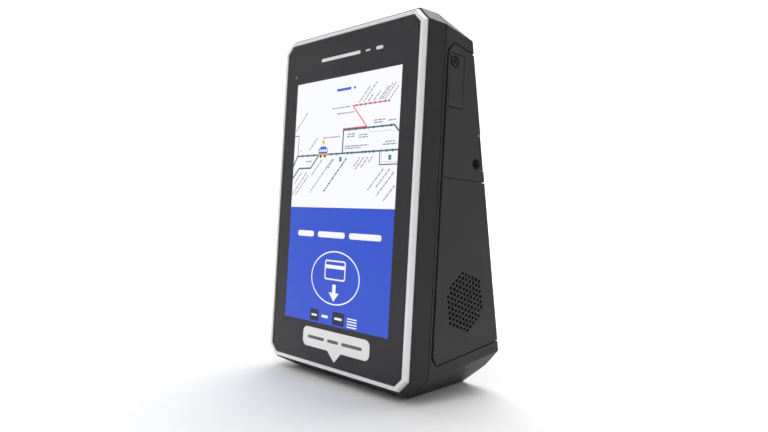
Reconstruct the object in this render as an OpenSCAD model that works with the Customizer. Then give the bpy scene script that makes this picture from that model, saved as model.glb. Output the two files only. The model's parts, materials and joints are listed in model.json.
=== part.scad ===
/* [Body] */
// Height of the whole body
body_h = 215.8; // [205:0.1:265]
// Depth of the body at its foot
body_d = 77; // [72:0.5:95]
// Depth of the body at the top of its leaning rear face
top_d = 37.4; // [36:0.1:60]
// Width across the side faces at the seam behind the front frame
seam_w = 128.1; // [126:0.1:155]
// Angle by which each side face flares outward towards the rear
side_flare = 4.2; // [2:0.1:6]
// Height of the upright heel at the foot of the rear face
heel_z = 13.4; // [10:0.1:16]

/* [Corner cuts] */
// Width of the top corner cut at the seam
top_cut_x = 7.3; // [5:0.1:10]
// Height of the top corner cut at the seam
top_cut_z = 7.8; // [5:0.1:10]
// Width of the bottom corner cut at the seam
foot_cut_x = 13.7; // [9:0.1:18]
// Height of the bottom corner cut at the seam
foot_cut_z = 12.7; // [9:0.1:17]
// How far the top face falls from the seam to the rear
top_fall = 10.2; // [6:0.1:13]
// Width of the top corner cut at the rear
rear_top_cut_x = 2.3; // [1:0.1:4]
// Height of the top corner cut at the rear
rear_top_cut_z = 1.9; // [1:0.1:4]
// Width of the bottom corner cut at the rear, at the base
rear_foot_cut_x = 27; // [22:0.5:32]
// Height of the bottom corner cut at the rear
rear_foot_cut_z = 24.3; // [20:0.1:28]
// Width of the bottom corner cut at the top of the heel
heel_cut_x = 10.5; // [8:0.1:14]

/* [Front frame] */
// Depth of the front frame's rear edge
frame_d = 15.75; // [14:0.05:18]
// Depth at which the front frame's outer face begins
frame_front = 2.4; // [2:0.1:3]
// Wall of the front frame
frame_wall = 2.4; // [2:0.1:3.5]
// Thickness of the flange that carries the glass
flange_t = 2; // [1.5:0.1:3]
// Set-in of the frame's top edge at its front
frame_top_in = 0.6; // [0.2:0.1:2]
// Set-in of the frame's bottom edge at its front
frame_foot_in = 6.1; // [4:0.1:8]
// Corner cut of the frame at its front
frame_cut = 7; // [5:0.1:9]
// Open line between the frame and the rear shell
seam_gap = 0.6; // [0.1:0.05:0.7]

/* [Bezel ring] */
// Width of the ring's flat front face
ring_face = 2.16; // [1.5:0.01:3.5]
// Width of the ring's outer bevel
ring_bevel = 1.03; // [0.5:0.01:1.5]
// Depth of the ring's outer bevel
ring_bevel_d = 2.7; // [1.5:0.1:3.2]
// Whole depth of the ring
ring_d = 4; // [3.4:0.1:4.4]
// Step from the ring's outer edge to the frame's outer edge
ring_step = 0.6; // [0.4:0.1:1.2]
// Corner cut of the ring's inner edge
ring_cut = 5; // [3:0.1:8]

/* [Glass and display] */
// Open line between the glass and the ring
glass_gap = 0.25; // [0.15:0.05:0.5]
// How far the glass lies behind the ring's face
glass_recess = 0.4; // [0.3:0.05:0.8]
// Thickness of the glass
glass_t = 2; // [1.5:0.1:3]
// Thickness of the adhesive foam under the glass
tape_t = 0.8; // [0.5:0.1:1]
// Width of the lit display area
display_w = 94.2; // [80:0.1:96]
// Height of the lit display area
display_h = 150.7; // [120:0.1:156]
// Blank margin of the display panel around its lit area
display_margin = 3; // [2:0.1:3.2]
// How far the display's centre lies below the ring's centre
display_drop = 1.05; // [-2:0.05:3]

/* [Covers] */
// Thickness of the upper and lower covers
cover_t = 2.4; // [2:0.1:3]
// Wall of the rear shell behind the covers
shell_wall = 2; // [1.6:0.1:3]
// Depth at which the covers begin
cover_y = 17.6; // [16.9:0.1:18.2]
// Size of the cut at the upper cover's front corner
cover_top_cut = 5.2; // [3:0.1:7]
// Size of the cut at the lower cover's front corner
cover_cut = 4.4; // [3:0.1:7]
// Distance from the body's top to the upper cover's highest edge
cover_top_in = 15.9; // [13:0.1:20]
// Height of the lower cover's lowest edge
cover_foot = 19.7; // [17:0.1:24]
// Slope of the covers' top and bottom edges along the sides
cover_slope = 11.5; // [8:0.1:14]
// Height of the line between the two covers
split_z = 124; // [118:0.5:128]
// Open line around each cover
cover_gap = 0.8; // [0.4:0.1:1.2]
// Extra width of that line along the covers' front edge
cover_front_gap = 0.7; // [0:0.1:1]
// Depth of the open line around each cover
line_d = 1; // [0.8:0.1:1.6]
// Open line between the two covers
split_gap = 0.5; // [0.2:0.1:0.8]
// Overlap of the lower cover behind the upper one
lap_h = 1.6; // [1:0.1:3]
// Clearance behind each cover
cover_fit = 0.1; // [0.05:0.05:0.3]
// Depth of the shadow groove between the front frame and the covers
groove_d = 0.15; // [0.1:0.05:1]

/* [Speaker grille] */
// Depth of the grille's centre
grille_y = 42.7; // [40:0.1:46]
// Height of the grille's centre
grille_z = 54.8; // [48:0.1:62]
// Distance between neighbouring grille holes
grille_pitch = 3.06; // [2.6:0.01:3.3]
// Diameter of a grille hole
grille_hole = 2.1; // [1.2:0.1:2.3]
// Diameter of the speaker's flange
speaker_w = 40; // [36:0.5:44]

/* [Service flap] */
// Depth of the flap's front edge
flap_y = 20.4; // [19:0.1:21]
// Width of the flap
flap_w = 11.4; // [9:0.1:13]
// Height of the flap
flap_h = 29.5; // [24:0.1:32]
// Distance from the body's top to the flap's top edge
flap_top_in = 22.5; // [21.5:0.1:28]
// Clearance round the flap
flap_gap = 0.4; // [0.2:0.05:0.5]
// Radius of the flap screw's recess
recess_r = 3.3; // [2.8:0.1:3.6]
// Radius of the flap screw's head
screw_head_r = 2.4; // [2:0.1:2.6]

/* [Bracket and lock screw] */
// Height of the middle of the bracket's strap
strap_z = 141; // [138:0.5:146]
// Height of the strap
strap_h = 20.4; // [16:0.1:24]
// Width of the bracket's centre plate
plate_w = 90; // [80:1:100]
// Height of the bracket's centre plate
plate_h = 54; // [50:1:60]
// Thickness of the bracket
plate_t = 2.2; // [1.5:0.1:2.3]
// Circle on which the four bracket holes lie
bracket_pcd = 50; // [46:1:54]
// Radius of a bracket hole
bracket_hole_r = 2.75; // [2.2:0.05:3.3]
// Radius of the cable opening
cable_r = 11; // [8:0.5:13]
// Distance from the rear face to the lock screw's axis, at its height
lock_in = 6.2; // [6:0.1:9]
// Height of the lock screw's axis
lock_z = 134.1; // [133.5:0.1:146]
// Radius of the hole over the lock screw
lock_hole_r = 3.2; // [2.8:0.05:3.3]
// Radius of the lock screw's shank
lock_shank_r = 1.5; // [1.2:0.05:1.6]

/* [Hidden] */
$fn = 48;
eps = 0.05;
root2 = sqrt(2);

// Outline of the body
rear_top_z = body_h - top_fall;
lean = (body_d - top_d) / (rear_top_z - heel_z);
lean_angle = atan(lean);
function side_x(y) = seam_w / 2 + tan(side_flare) * (y - frame_d);
function rear_y(z) = body_d - lean * max(0, z - heel_z);
function shrunk(cut, inset) = max(0.4, cut - (2 - root2) * inset);
function octagon(w, z0, z1, top_x, top_z, foot_x, foot_z) = [
  [w, z0 + foot_z], [w, z1 - top_z], [w - top_x, z1], [-w + top_x, z1],
  [-w, z1 - top_z], [-w, z0 + foot_z], [-w + foot_x, z0], [w - foot_x, z0]];
function even_octagon(w, z0, z1, cut) = octagon(w, z0, z1, cut, cut, cut, cut);
function at_y(outline, y) = [for (p = outline) [p[0], y, p[1]]];
function seam_outline(inset) = octagon(seam_w / 2 - inset, inset, body_h - inset,
  shrunk(top_cut_x, inset), shrunk(top_cut_z, inset),
  shrunk(foot_cut_x, inset), shrunk(foot_cut_z, inset));
function frame_outline(inset) = even_octagon(side_x(frame_front) - inset,
  frame_foot_in + inset, body_h - frame_top_in - inset, shrunk(frame_cut, inset));
function rear_corner(side, z, cut, inset) =
  [side * (side_x(rear_y(z)) - cut - inset), rear_y(z) - inset, z];
function rear_points(inset) = [for (side = [-1, 1]) each [
  rear_corner(side, inset + shrunk(rear_foot_cut_z, inset), 0, inset),
  rear_corner(side, rear_top_z - inset - shrunk(rear_top_cut_z, inset), 0, inset),
  rear_corner(side, rear_top_z - inset, shrunk(rear_top_cut_x, inset), inset),
  rear_corner(side, heel_z, heel_cut_x + (root2 - 1) * inset, inset),
  rear_corner(side, inset, shrunk(rear_foot_cut_x, inset), inset)]];

// Ring, glass and display
ring_w = ring_face + ring_bevel;
ring_half = side_x(frame_front) - ring_step;
ring_z0 = frame_foot_in + ring_step;
ring_z1 = body_h - frame_top_in - ring_step;
function ring_outline(inset) = even_octagon(ring_half - inset, ring_z0 + inset,
  ring_z1 - inset, ring_cut + (2 - root2) * (ring_w - inset));
glass_half = ring_half - ring_w - glass_gap;
glass_back = glass_recess + glass_t;
flange_front = glass_back + tape_t;
flange_back = flange_front + flange_t;
display_z = (ring_z0 + ring_z1) / 2 - display_drop;
panel_w = display_w + 2 * display_margin;
panel_h = display_h + 2 * display_margin;
panel_t = 2.4;
panel_gap = 0.5;
touch_t = 0.5;
sensor_x = -49.4;
sensor_up = display_h / 2 + 5.25;
sensor_w = 3.2;
lens_r = 1.1;
tray_y = glass_back + touch_t + 0.1 + panel_t;
tray_t = 2;
tray_sheet = 0.6;

// Depths of the rear shell's outer and inner faces behind the covers
inner_inset = cover_t + shell_wall;
cover_back = cover_t + cover_fit;
ledge_gap = 0.15;

// Parts between the display and the rear shell
antenna_y = tray_y + tray_t + 0.2;
antenna_t = 1.2;
antenna_w = 84;
antenna_h = 62;
antenna_z = display_z - display_h / 2 + 30;
ferrite_t = 0.5;
plate_y = antenna_y + antenna_t + ferrite_t + 0.3;
mid_t = 1.5;
plate_back = plate_y + mid_t;
plate_half = seam_w / 2 - 6.5;
plate_z0 = 12;
plate_z1 = body_h - 12;
screw_r = 1.5;
tap_r = 1.25;
boss_r = 3.2;
boss_x = seam_w / 2 - 10;
boss_zs = [26, body_h / 2, body_h - 22];
board_gap = 6;
board_y = plate_back + board_gap;
board_t = 1.6;
board_back = board_y + board_t;
board_half = 42;
board_z0 = 62;
board_z1 = 176;
board_hole_in = 4;
board_spots = [for (sx = [-1, 1], z = [board_z0 + board_hole_in, board_z1 - board_hole_in])
  [sx * (board_half - board_hole_in), z]];

// Pillars that hold the rear shell to the mid plate
pillar_r = 3.6;
pillar_in = 12.6;
pillar_x = seam_w / 2 - inner_inset - pillar_in;
pillar_spots = [for (sx = [-1, 1], z = [34, body_h - 31]) [sx * pillar_x, z]];
pillar_seat = plate_back + 9;
pillar_head_r = 2.9;

// Lip of the rear shell that stands inside the front frame, behind the open line
lip_fit = 0.15;
lip_t = 1.2;
lip_d = 2.5;
lip_root = 0.5;

// Service flap, in the plane of the right side
flap_mid_y = flap_y + flap_w / 2;
flap_mid_z = body_h - flap_top_in - flap_h / 2;
flap_set = 0.4;
flap_t = cover_t - flap_set;
hinge_r = 0.6;
hinge_fit = 0.06;
hinge_in = 1.2;
pin_seat = 1.5;
pocket_d = 0.5;
flap_screw_y = -flap_w / 2 + recess_r + 0.4;
flap_screw_z = flap_h / 2 - recess_r - 1;
recess_floor = 0.8;
head_t = 1.0;
head_gap = 0.15;
shank_gap = 0.3;
flap_shank_r = 1.1;
socket_in = inner_inset + 3.4;
socket_d = 4.4;
service_board_t = 1.2;
service_board_in = socket_in + socket_d + service_board_t;
service_board_top = flap_h / 2 - 4;
service_board_clear = 1.4;
service_board_rear = (rear_y(flap_mid_z + service_board_top) - inner_inset / cos(lean_angle)
  - service_board_clear - flap_mid_y - service_board_in * sin(side_flare)) / cos(side_flare);

// Speaker, along the normal of the right side
basket_r = speaker_w / 2 - 3;
basket_d = 9;
speaker_seat = inner_inset;
flange_plate_t = 1.5;
cone_r = basket_r - 1.6;
cloth_t = 0.3;
magnet_r = 11;
magnet_t = 6;

// Bracket and the screw that locks the body to it
plate_z = strap_z - strap_h / 2 + plate_h / 2;
bracket_gap = 0.15;
lock_y = rear_y(lock_z) - lock_in;
lock_head_r = lock_hole_r - 0.4;
lock_head_t = 1.3;
lock_gap = 0.1;
shank_fit = 0.3;
slot_gap = 0.5;
tongue_in = inner_inset + slot_gap + 0.4;
tongue_front = -5;
lock_end = tongue_in + plate_t + 1.5;
tongue_z0 = strap_z - strap_h / 2 - lock_z + 0.3;
tongue_z1 = strap_z + strap_h / 2 - lock_z - 3;

// Tamper switch, on the rear face
tamper_x = -24;
tamper_z = cover_foot + 60;
plunger_r = 1.3;
plunger_travel = 1;
plunger_gap = 0.3;

// Scanner in the base
scanner_w = 34;
scanner_d = 22;
scanner_y = 38;
window_w = 30;
window_d = 18;
window_t = 1.5;
window_recess = 0.8;
base_wall = inner_inset;

// Helpers
module placed() translate([0, -body_d / 2, 0]) children();
module solid_of(points)
  hull() polyhedron(points, [[for (i = [0 : len(points) - 1]) i]]);
module upright(y0, y1) translate([0, y1, 0]) rotate([90, 0, 0]) linear_extrude(y1 - y0) children();
module across(w) translate([-w / 2, 0, 0]) rotate([90, 0, 90]) linear_extrude(w) children();
module block(x0, x1, y0, y1, z0, z1) translate([x0, y0, z0]) cube([x1 - x0, y1 - y0, z1 - z0]);
module centred(w, y0, y1, z, h) block(-w / 2, w / 2, y0, y1, z - h / 2, z + h / 2);
module rod_y(r, y0, y1) translate([0, y0, 0]) rotate([-90, 0, 0]) cylinder(h = y1 - y0, r = r);
module rod_x(r, x0, x1) translate([x0, 0, 0]) rotate([0, 90, 0]) cylinder(h = x1 - x0, r = r);
// Places a child on the right side: +X is the outward normal, +Y runs rearward, +Z up
module on_side(y, z, lean_by = 0)
  translate([side_x(y), y, z]) rotate([0, 0, -side_flare]) rotate([lean_by, 0, 0]) children();
// Places a child on the leaning rear face: +Y is the outward normal, +Z runs up the face
module on_rear(z) translate([0, rear_y(z), z]) rotate([lean_angle, 0, 0]) children();
module round_bar(w, h, r, y0, y1) upright(y0, y1) union() {
  square([w - 2 * r, h], center = true);
  square([w, h - 2 * r], center = true);
  for (sx = [-1, 1], sz = [-1, 1]) translate([sx * (w / 2 - r), sz * (h / 2 - r)]) circle(r);
}

// The space inside the front frame, moved inward by inset and ending at the given depth
module frame_inside(inset, back)
  solid_of(concat(at_y(frame_outline(inset), flange_back), at_y(seam_outline(inset), back)));

// The rear body's outer shape, moved inward by inset
module body_form(inset, y0) solid_of(concat(at_y(seam_outline(inset), y0), rear_points(inset)));

// The area that the covers fill, seen from the side
module cover_area(inset, ahead = 0) {
  foot_y = cover_y + cover_cut;
  top_y = cover_y + cover_top_cut;
  far_y = body_d + 20;
  rise = tan(cover_slope);
  z0 = cover_foot + inset;
  z1 = body_h - cover_top_in - inset;
  across(2 * seam_w) polygon([[cover_y + inset + ahead, z0 + cover_cut], [foot_y, z0],
    [far_y, z0 + rise * (far_y - foot_y)], [far_y, z1 - rise * (far_y - top_y)],
    [top_y, z1], [cover_y + inset + ahead, z1 - cover_top_cut]]);
}
module cover_layer(from = 0, to = cover_t) difference() {
  body_form(from, frame_d);
  body_form(to, frame_d - 1);
}
// The lower cover's upright lip, which lies behind the upper cover's foot
module cover_lap(grow) intersection() {
  cover_layer(line_d - grow, cover_t + grow);
  cover_area(cover_gap - grow, cover_front_gap);
  block(-seam_w, seam_w, 0, 2 * body_d, split_z - 2 * lap_h, split_z + lap_h + grow);
}
module grille_holes() on_side(grille_y, grille_z, lean_angle)
  for (column = [-5 : 5], row = [0 : 11 - abs(column)])
    if (!(column == -5 && row == 0) && !(column == 5 && row == 6))
      translate([0, column * grille_pitch * sqrt(3) / 2,
                 (5.5 - row - abs(column) / 2) * grille_pitch])
        rotate([0, 90, 0]) cylinder(h = 4 * cover_t, d = grille_hole, center = true, $fn = 20);
module bracket_shape(grow) {
  on_rear(strap_z) block(-seam_w, seam_w, -cover_t, 5, -strap_h / 2 - grow, strap_h / 2 + grow);
  on_rear(plate_z) block(-plate_w / 2 - grow, plate_w / 2 + grow, -cover_t, 5,
                         -plate_h / 2 - grow, plate_h / 2 + grow);
}
// Spots for the four screws that hold the two covers, on the rear face
module at_cover_screws() {
  for (sx = [-1, 1]) {
    on_rear(rear_top_z - 24) translate([sx * (plate_w / 2 + 9), 0, 0]) children();
    on_rear(cover_foot + 24) translate([sx * 40, 0, 0]) children();
  }
}

// Front frame and what it carries
module front_frame() color("#2b2b2c") placed() difference() {
  union() {
    difference() {
      solid_of(concat(at_y(frame_outline(0), frame_front), at_y(seam_outline(0), frame_d)));
      frame_inside(frame_wall, frame_d + eps);
    }
    for (sx = [-1, 1], z = boss_zs) translate([sx * boss_x, 0, z]) rod_y(boss_r, flange_back - 0.5, plate_y);
  }
  upright(0, ring_d) polygon(ring_outline(-0.1));
  upright(0, flange_front) polygon(ring_outline(0));
  centred(panel_w + 2 * panel_gap, 0, flange_back + 1, display_z, panel_h + 2 * panel_gap);
  sensor_notch(0, flange_back + 1, 0.05);
  for (sx = [-1, 1], z = boss_zs) translate([sx * boss_x, 0, z])
    rod_y(tap_r, flange_back + 0.5, plate_y + 1);
}
module bezel_ring() color("#e4e4e6") placed() difference() {
  union() {
    solid_of(concat(at_y(ring_outline(ring_bevel), 0), at_y(ring_outline(0), ring_bevel_d)));
    upright(ring_bevel_d - eps, ring_d) polygon(ring_outline(0));
  }
  upright(-1, ring_d + 1) polygon(ring_outline(ring_w));
}
module front_glass() color("#3f3f43") placed()
  upright(glass_recess, glass_back) polygon(ring_outline(ring_w + glass_gap));
// Space for the light sensor, a notch in the top edge of the display window
module sensor_notch(y0, y1, gap) translate([sensor_x, 0, display_z])
  block(-sensor_w / 2 - gap, sensor_w / 2 + gap, y0, y1, 0, sensor_up + sensor_w / 2 + gap);
module glass_tape() color("#141414") placed() difference() {
  upright(glass_back, flange_front) polygon(ring_outline(ring_w + glass_gap + 0.8));
  sensor_notch(0, flange_front + 1, 0.5);
  centred(panel_w + 2 * panel_gap + 1, 0, flange_front + 1, display_z, panel_h + 2 * panel_gap + 1);
}
module scan_label() color("#f1f1ef") placed() translate([3.3, 0, 25]) {
  round_bar(60.2, 11.8, 3.8, glass_recess - 0.2, glass_recess);
  upright(glass_recess - 0.2, glass_recess) polygon([[-6.6, -5.5], [6.4, -5.5], [0.5, -11.9]]);
}
module touch_sensor() color("#9fb0b8") placed()
  centred(panel_w, glass_back, glass_back + touch_t, display_z, panel_h);
module display_panel() color("#eceff4") placed()
  centred(panel_w, glass_back + touch_t + 0.1, tray_y, display_z, panel_h);
module backlight_tray() color("#b9bbbd") placed() difference() {
  centred(panel_w + 0.4, tray_y, tray_y + tray_t, display_z, panel_h + 0.4);
  centred(panel_w - 1, tray_y - 1, tray_y + tray_t - tray_sheet, display_z, panel_h - 1);
}
module light_sensor() color("#5a5c66") placed() translate([sensor_x, 0, display_z + sensor_up]) {
  rod_y(lens_r, glass_back, flange_front + eps);
  centred(sensor_w, flange_front, flange_back, 0, sensor_w);
}
module card_antenna() color("#1d5c3c") placed() difference() {
  centred(antenna_w, antenna_y, antenna_y + antenna_t, antenna_z, antenna_h);
  centred(antenna_w - 22, antenna_y - 1, antenna_y + antenna_t + 1, antenna_z, antenna_h - 22);
}
module ferrite_sheet() color("#4a4643") placed()
  centred(antenna_w, antenna_y + antenna_t, antenna_y + antenna_t + ferrite_t, antenna_z, antenna_h);

// Mid plate and boards
module mid_plate() color("#c4c6c8") placed() difference() {
  upright(plate_y, plate_back) polygon(even_octagon(plate_half, plate_z0, plate_z1, 12));
  for (sx = [-1, 1], z = boss_zs) translate([sx * boss_x, 0, z])
    rod_y(screw_r + 0.2, plate_y - 1, plate_back + 1);
  for (p = pillar_spots) translate([p[0], 0, p[1]]) rod_y(tap_r, plate_y - 1, plate_back + 1);
  for (p = board_spots) translate([p[0], 0, p[1]]) rod_y(tap_r, plate_y - 1, plate_back + 1);
}
module plate_screws() color("#8d9094") placed()
  for (sx = [-1, 1], z = boss_zs) translate([sx * boss_x, 0, z]) {
    rod_y(tap_r - 0.02, flange_back + 1.5, plate_back + eps);
    difference() {
      rod_y(2.6, plate_back, plate_back + 1.8);
      rod_y(1, plate_back + 0.8, plate_back + 3, $fn = 6);
    }
  }
module board_standoffs() color("#c9a85a") placed()
  for (p = board_spots) translate([p[0], 0, p[1]]) difference() {
    rod_y(2.6, plate_back, board_y, $fn = 6);
    rod_y(tap_r, plate_back - 1, board_y + 1);
  }
module main_board() color("#1f6b45") placed() difference() {
  block(-board_half, board_half, board_y, board_back, board_z0, board_z1);
  for (p = board_spots) translate([p[0], 0, p[1]]) rod_y(screw_r + 0.1, board_y - 1, board_back + 1);
}
module board_screws() color("#8d9094") placed()
  for (p = board_spots) translate([p[0], 0, p[1]]) difference() {
    union() {
      rod_y(tap_r - 0.02, board_y - 4, board_back + eps);
      rod_y(2.5, board_back, board_back + 1.6);
    }
    rod_y(1, board_back + 0.7, board_back + 3, $fn = 6);
  }
module processor_shield() color("#d3d5d7") placed() difference() {
  centred(40, board_back, board_back + 2.6, 120, 34);
  centred(39, board_back - 1, board_back + 2.2, 120, 33);
}
module heat_sink() color("#55585c") placed() {
  centred(36, board_back + 2.6, board_back + 4, 120, 30);
  for (fin = [-4 : 4]) translate([fin * 4.2, 0, 0])
    centred(1, board_back + 3.9, board_back + 7.5, 120, 30);
}
module board_connectors() color("#e9e6dc") placed() {
  for (x = [-28, -10, 10, 28]) translate([x, 0, 0]) difference() {
    centred(12, board_back, board_back + 5.4, board_z0 + 6, 6);
    centred(10.4, board_back + 1, board_back + 7, board_z0 + 6, 4.4);
  }
  for (x = [-24, 0, 24]) translate([x, 0, 0]) difference() {
    centred(14, board_back, board_back + 4.2, board_z1 - 6, 5);
    centred(12.6, board_back + 1, board_back + 6, board_z1 - 6, 3.4);
  }
}
module display_ribbon() color("#c98a3a") placed() {
  ribbon_z = plate_z1 + 1;
  centred(18, tray_y + tray_t, board_back + 3.2, ribbon_z, 0.3);
  centred(18, tray_y + tray_t, tray_y + tray_t + 0.3, (display_z + panel_h / 2 - 8 + ribbon_z) / 2,
          ribbon_z - (display_z + panel_h / 2 - 8));
  centred(18, board_back + 2.9, board_back + 3.2, (board_z1 + 1 + ribbon_z) / 2, ribbon_z - board_z1 - 1);
}

// Radio, power and sound
module modem_board() color("#20436b") placed() {
  block(-34, -2, board_back + 6, board_back + 7.2, board_z1 + 6, body_h - 14);
  block(-30, -8, board_back + 7.2, board_back + 9.6, board_z1 + 9, body_h - 17);
}
module radio_antenna() color("#d9c9a0") placed()
  block(4, 40, board_back + 6, board_back + 7, body_h - 24, body_h - 14);
module power_board() color("#1f6b45") placed() {
  block(-40, 30, board_y, board_back, board_z0 - 26, board_z0 - 4);
  block(-38, -24, board_back, board_back + 9, board_z0 - 24, board_z0 - 8);
  block(-18, -8, board_back, board_back + 7, board_z0 - 22, board_z0 - 8);
}
module power_capacitors() color("#2c3550") placed()
  for (x = [0, 10, 20]) translate([x, 0, board_z0 - 15]) rod_y(4.2, board_back, board_back + 11);
module backup_battery() color("#3b6ea8") placed() hull()
  for (z = [board_z0 - 22, board_z0 + 10]) translate([-34, body_d - 32, z]) rotate([0, 90, 0])
    cylinder(h = 26, r = 8, $fn = 32);
module sounder() color("#161617") placed() translate([-24, 0, board_z1 - 34]) difference() {
  rod_y(6, board_back, board_back + 6);
  rod_y(1.2, board_back + 4, board_back + 8);
}

// Code scanner, looking down through the base
module scanner_module() color("#26282b") placed()
  translate([0, scanner_y, 0]) difference() {
    block(-scanner_w / 2, scanner_w / 2, -scanner_d / 2, scanner_d / 2, base_wall + 1, base_wall + 15);
    for (x = [-9, 9]) translate([x, 0, base_wall]) cylinder(h = 4, r = 4);
  }
module scanner_holder() color("#9ea1a5") placed() translate([0, scanner_y, 0]) {
  for (sx = [-1, 1]) mirror([sx < 0 ? 1 : 0, 0, 0]) {
    block(scanner_w / 2 + 0.2, scanner_w / 2 + 1.2, -scanner_d / 2, scanner_d / 2,
          base_wall + 0.05, base_wall + 16.2);
    block(scanner_w / 2 + 0.2, scanner_w / 2 + 7, -scanner_d / 2, scanner_d / 2,
          base_wall + 0.05, base_wall + 1.05);
  }
  block(-scanner_w / 2 - 1.2, scanner_w / 2 + 1.2, -scanner_d / 2, scanner_d / 2,
        base_wall + 15.2, base_wall + 16.2);
}
module scanner_window() color("#5d1f24") placed()
  block(-window_w / 2, window_w / 2, scanner_y - window_d / 2, scanner_y + window_d / 2,
        window_recess, window_recess + window_t);

// Rear shell, its covers and their screws
module rear_shell() color("#38383a") placed() difference() {
  union() {
    difference() {
      body_form(0, frame_d + seam_gap);
      difference() {
        cover_area(0);
        body_form(line_d, frame_d - 1);
      }
      difference() {
        cover_area(cover_gap - ledge_gap);
        body_form(cover_back, frame_d - 1);
      }
      difference() {
        block(-seam_w, seam_w, frame_d, cover_y + eps, cover_foot + cover_cut,
              body_h - cover_top_in - cover_top_cut);
        body_form(groove_d, frame_d - 1);
      }
      body_form(inner_inset, frame_d - 1);
    }
    intersection() {
      for (p = pillar_spots) translate([p[0], 0, p[1]]) rod_y(pillar_r, plate_back, body_d);
      on_rear(body_h / 2) block(-seam_w, seam_w, -2 * body_d, -cover_back - shell_wall / 2,
                                -body_h, body_h);
    }
    difference() {
      frame_inside(frame_wall + lip_fit, frame_d + seam_gap + lip_root);
      frame_inside(frame_wall + lip_fit + lip_t, frame_d + seam_gap + 2 * lip_root);
      block(-seam_w, seam_w, 0, frame_d - lip_d, -1, body_h + 1);
    }
  }
  for (p = pillar_spots) translate([p[0], 0, p[1]]) {
    rod_y(screw_r + 0.15, 0, body_d);
    rod_y(pillar_head_r + 0.1, pillar_seat, body_d);
  }
  on_side(lock_y, lock_z) {
    rod_x(lock_shank_r + shank_fit, -lock_end - 0.5, 1);
    rod_x(lock_head_r + lock_gap, -cover_back - lock_head_t, 1);
  }
  on_side(grille_y, grille_z) {
    rod_x(cone_r, -2 * inner_inset, 1);
    rod_x(speaker_w / 2 - 0.7, -cover_back - cloth_t - eps, 1);
  }
  on_side(flap_mid_y, flap_mid_z) {
    block(-2 * inner_inset, 1, -flap_w / 2 + 1.5, flap_w / 2 - 1.5, -flap_h / 2 + 4.5, flap_h / 2 - 8);
    block(-cover_back - pocket_d, 1, -flap_w / 2 - flap_gap, flap_w / 2 + flap_gap,
          -flap_h / 2 - flap_gap, flap_h / 2 + flap_gap);
    translate([0, flap_screw_y, flap_screw_z]) rod_x(flap_shank_r + shank_gap, -2 * inner_inset, 1);
  }
  on_rear(tamper_z) translate([tamper_x, 0, 0]) rod_y(plunger_r + 0.4, -2 * inner_inset, 0);
  for (side = [0, 1]) mirror([side, 0, 0]) tongue_slot();
  on_rear(plate_z) rod_y(cable_r, -2 * inner_inset, 5);
  at_cover_screws() rod_y(tap_r, -2 * inner_inset, 1);
  block(-window_w / 2 - 0.2, window_w / 2 + 0.2, scanner_y - window_d / 2 - 0.2,
        scanner_y + window_d / 2 + 0.2, -1, window_recess + window_t);
  block(-window_w / 2 + 2, window_w / 2 - 2, scanner_y - window_d / 2 + 2,
        scanner_y + window_d / 2 - 2, -1, base_wall + 1);
}
module shell_screws() color("#8d9094") placed()
  for (p = pillar_spots) translate([p[0], 0, p[1]]) difference() {
    union() {
      rod_y(tap_r - 0.02, plate_y - 1, plate_back);
      rod_y(screw_r - 0.05, plate_back, pillar_seat + eps);
      rod_y(pillar_head_r - 0.1, pillar_seat, pillar_seat + 2.4);
    }
    rod_y(1.3, pillar_seat + 1, pillar_seat + 4, $fn = 6);
  }
module upper_cover() color("#3a3a3c") placed() difference() {
  intersection() {
    cover_layer();
    cover_area(cover_gap, cover_front_gap);
    block(-seam_w, seam_w, 0, 2 * body_d, split_z + split_gap / 2, 2 * body_h);
  }
  cover_lap(ledge_gap);
  on_side(flap_mid_y, flap_mid_z) {
    block(-2 * cover_t, 2, -flap_w / 2 - flap_gap, flap_w / 2 + flap_gap,
          -flap_h / 2 - flap_gap, flap_h / 2 + flap_gap);
    at_hinge() rod_y(hinge_r, -flap_w, flap_w / 2 + flap_gap + pin_seat);
  }
  on_side(lock_y, lock_z) rod_x(lock_hole_r, -2 * cover_t, 2);
  bracket_shape(bracket_gap);
  at_cover_screws() cover_screw_hole();
}
module lower_cover() color("#3a3a3c") placed() difference() {
  union() {
    intersection() {
      cover_layer();
      cover_area(cover_gap, cover_front_gap);
      block(-seam_w, seam_w, 0, 2 * body_d, 0, split_z - split_gap / 2);
    }
    cover_lap(0);
  }
  grille_holes();
  at_cover_screws() cover_screw_hole();
}
module cover_screw_hole() {
  rod_y(screw_r + 0.1, -2 * cover_t, 1);
  rod_y(2.9, -1.5, 1);
}
module cover_screws() color("#8d9094") placed() at_cover_screws() difference() {
  union() {
    rod_y(tap_r - 0.02, -inner_inset - 1, -1.4);
    rod_y(2.7, -1.5, -0.2);
  }
  rod_y(1.1, -0.9, 1, $fn = 6);
}

// Service flap on the right side, hinged at its foot
module at_hinge() translate([-hinge_in, 0, -flap_h / 2 + hinge_in]) children();
module service_flap() color("#3a3a3c") placed() on_side(flap_mid_y, flap_mid_z) difference() {
  union() {
    block(-flap_t, 0, -flap_w / 2, flap_w / 2, -flap_h / 2 + hinge_in, flap_h / 2);
    at_hinge() rod_y(hinge_in, -flap_w / 2, flap_w / 2);
  }
  at_hinge() rod_y(hinge_r + hinge_fit, -flap_w, flap_w);
  translate([0, flap_screw_y, flap_screw_z]) {
    rod_x(recess_r, -flap_t + recess_floor, 1);
    rod_x(flap_shank_r + shank_gap, -2 * flap_t, 1);
  }
}
module flap_hinge_pin() color("#8d9094") placed() on_side(flap_mid_y, flap_mid_z)
  at_hinge() rod_y(hinge_r, cover_y + cover_gap + cover_front_gap - flap_mid_y + eps,
                   flap_w / 2 + flap_gap + pin_seat);
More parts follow.
